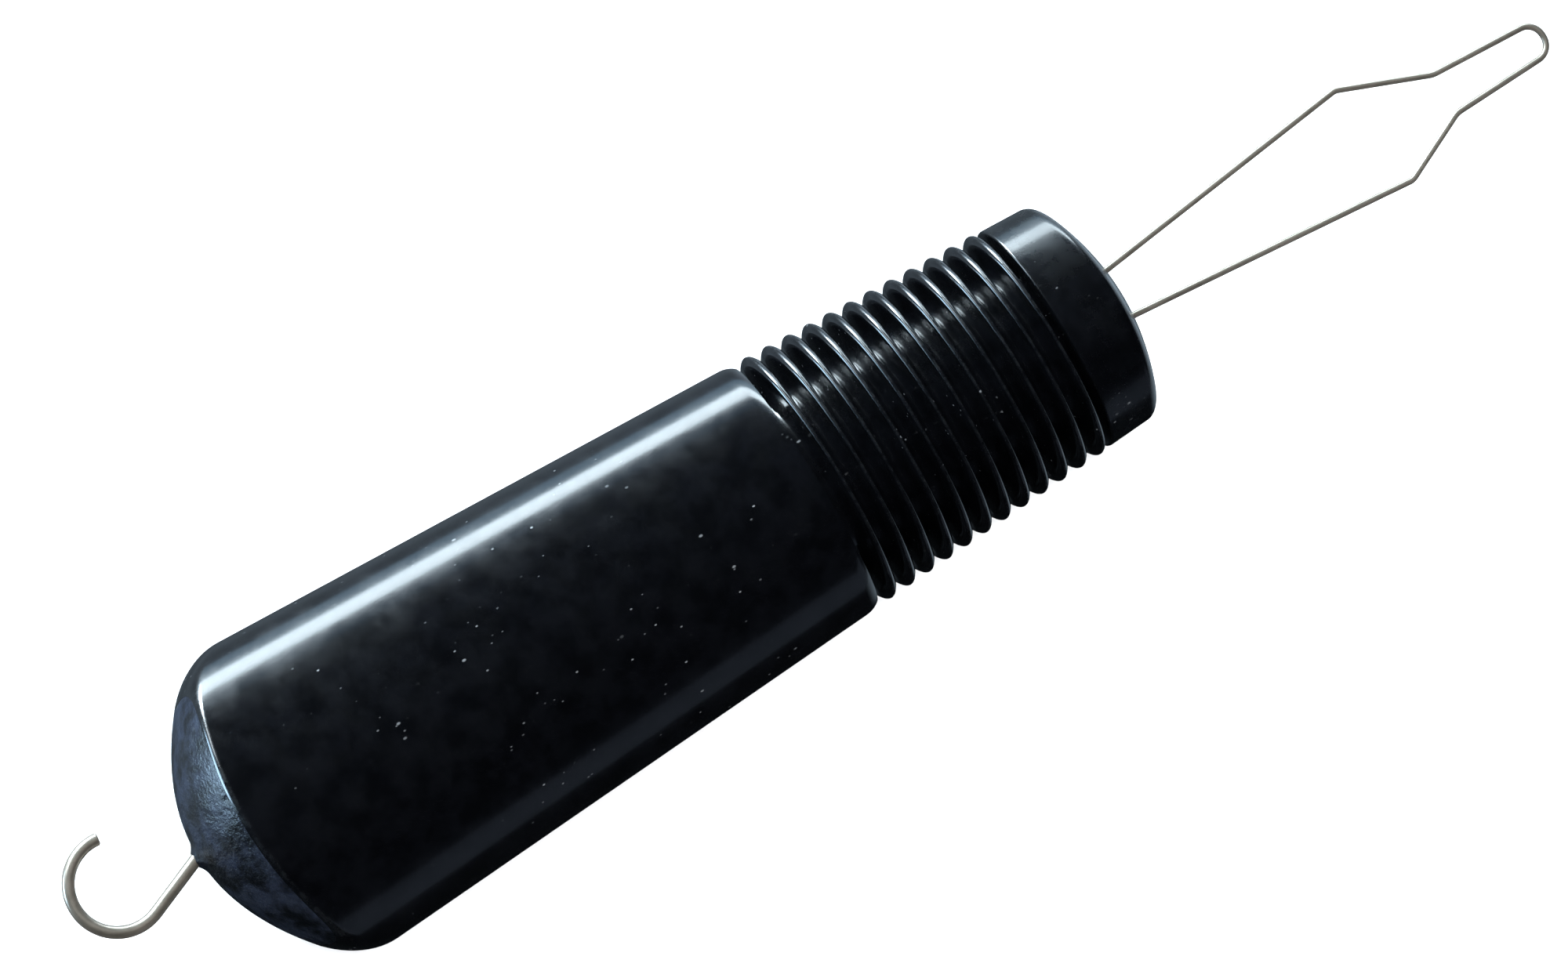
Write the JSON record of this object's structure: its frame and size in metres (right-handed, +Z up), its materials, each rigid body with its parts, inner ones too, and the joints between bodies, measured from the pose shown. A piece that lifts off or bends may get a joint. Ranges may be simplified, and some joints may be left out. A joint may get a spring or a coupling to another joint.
{
  "type": "button hook and zip pull",
  "caption": "Dressing aid: a fat, ribbed soft grip with a slim wire loop that draws buttons through their holes at one end and a small round wire hook for zip tabs at the other.",
  "frame": {"origin": "centre of the whole tool's bounding box, on the surface that the grip's belly rests on", "axes": "+X along the tool from the zip hook to the button loop, +Y across the broad face, +Z up out of the broad face"},
  "size_m": [0.1973, 0.0376, 0.023],
  "materials": {
    "grip_rubber": "glossy black moulded rubber with fine dust and scuffs",
    "cap_rubber": "duller, faintly grained black rubber",
    "core_plastic": "plain moulded plastic, out of sight",
    "stainless_wire": "satin drawn stainless wire"
  },
  "bodies": {
    "root": {"grip_sleeve": "grip_rubber", "neck_collar": "grip_rubber", "butt_cap": "cap_rubber", "core_upper": "core_plastic", "core_lower": "core_plastic", "button_loop": "stainless_wire", "zip_hook": "stainless_wire"}
  },
  "joints": []
}
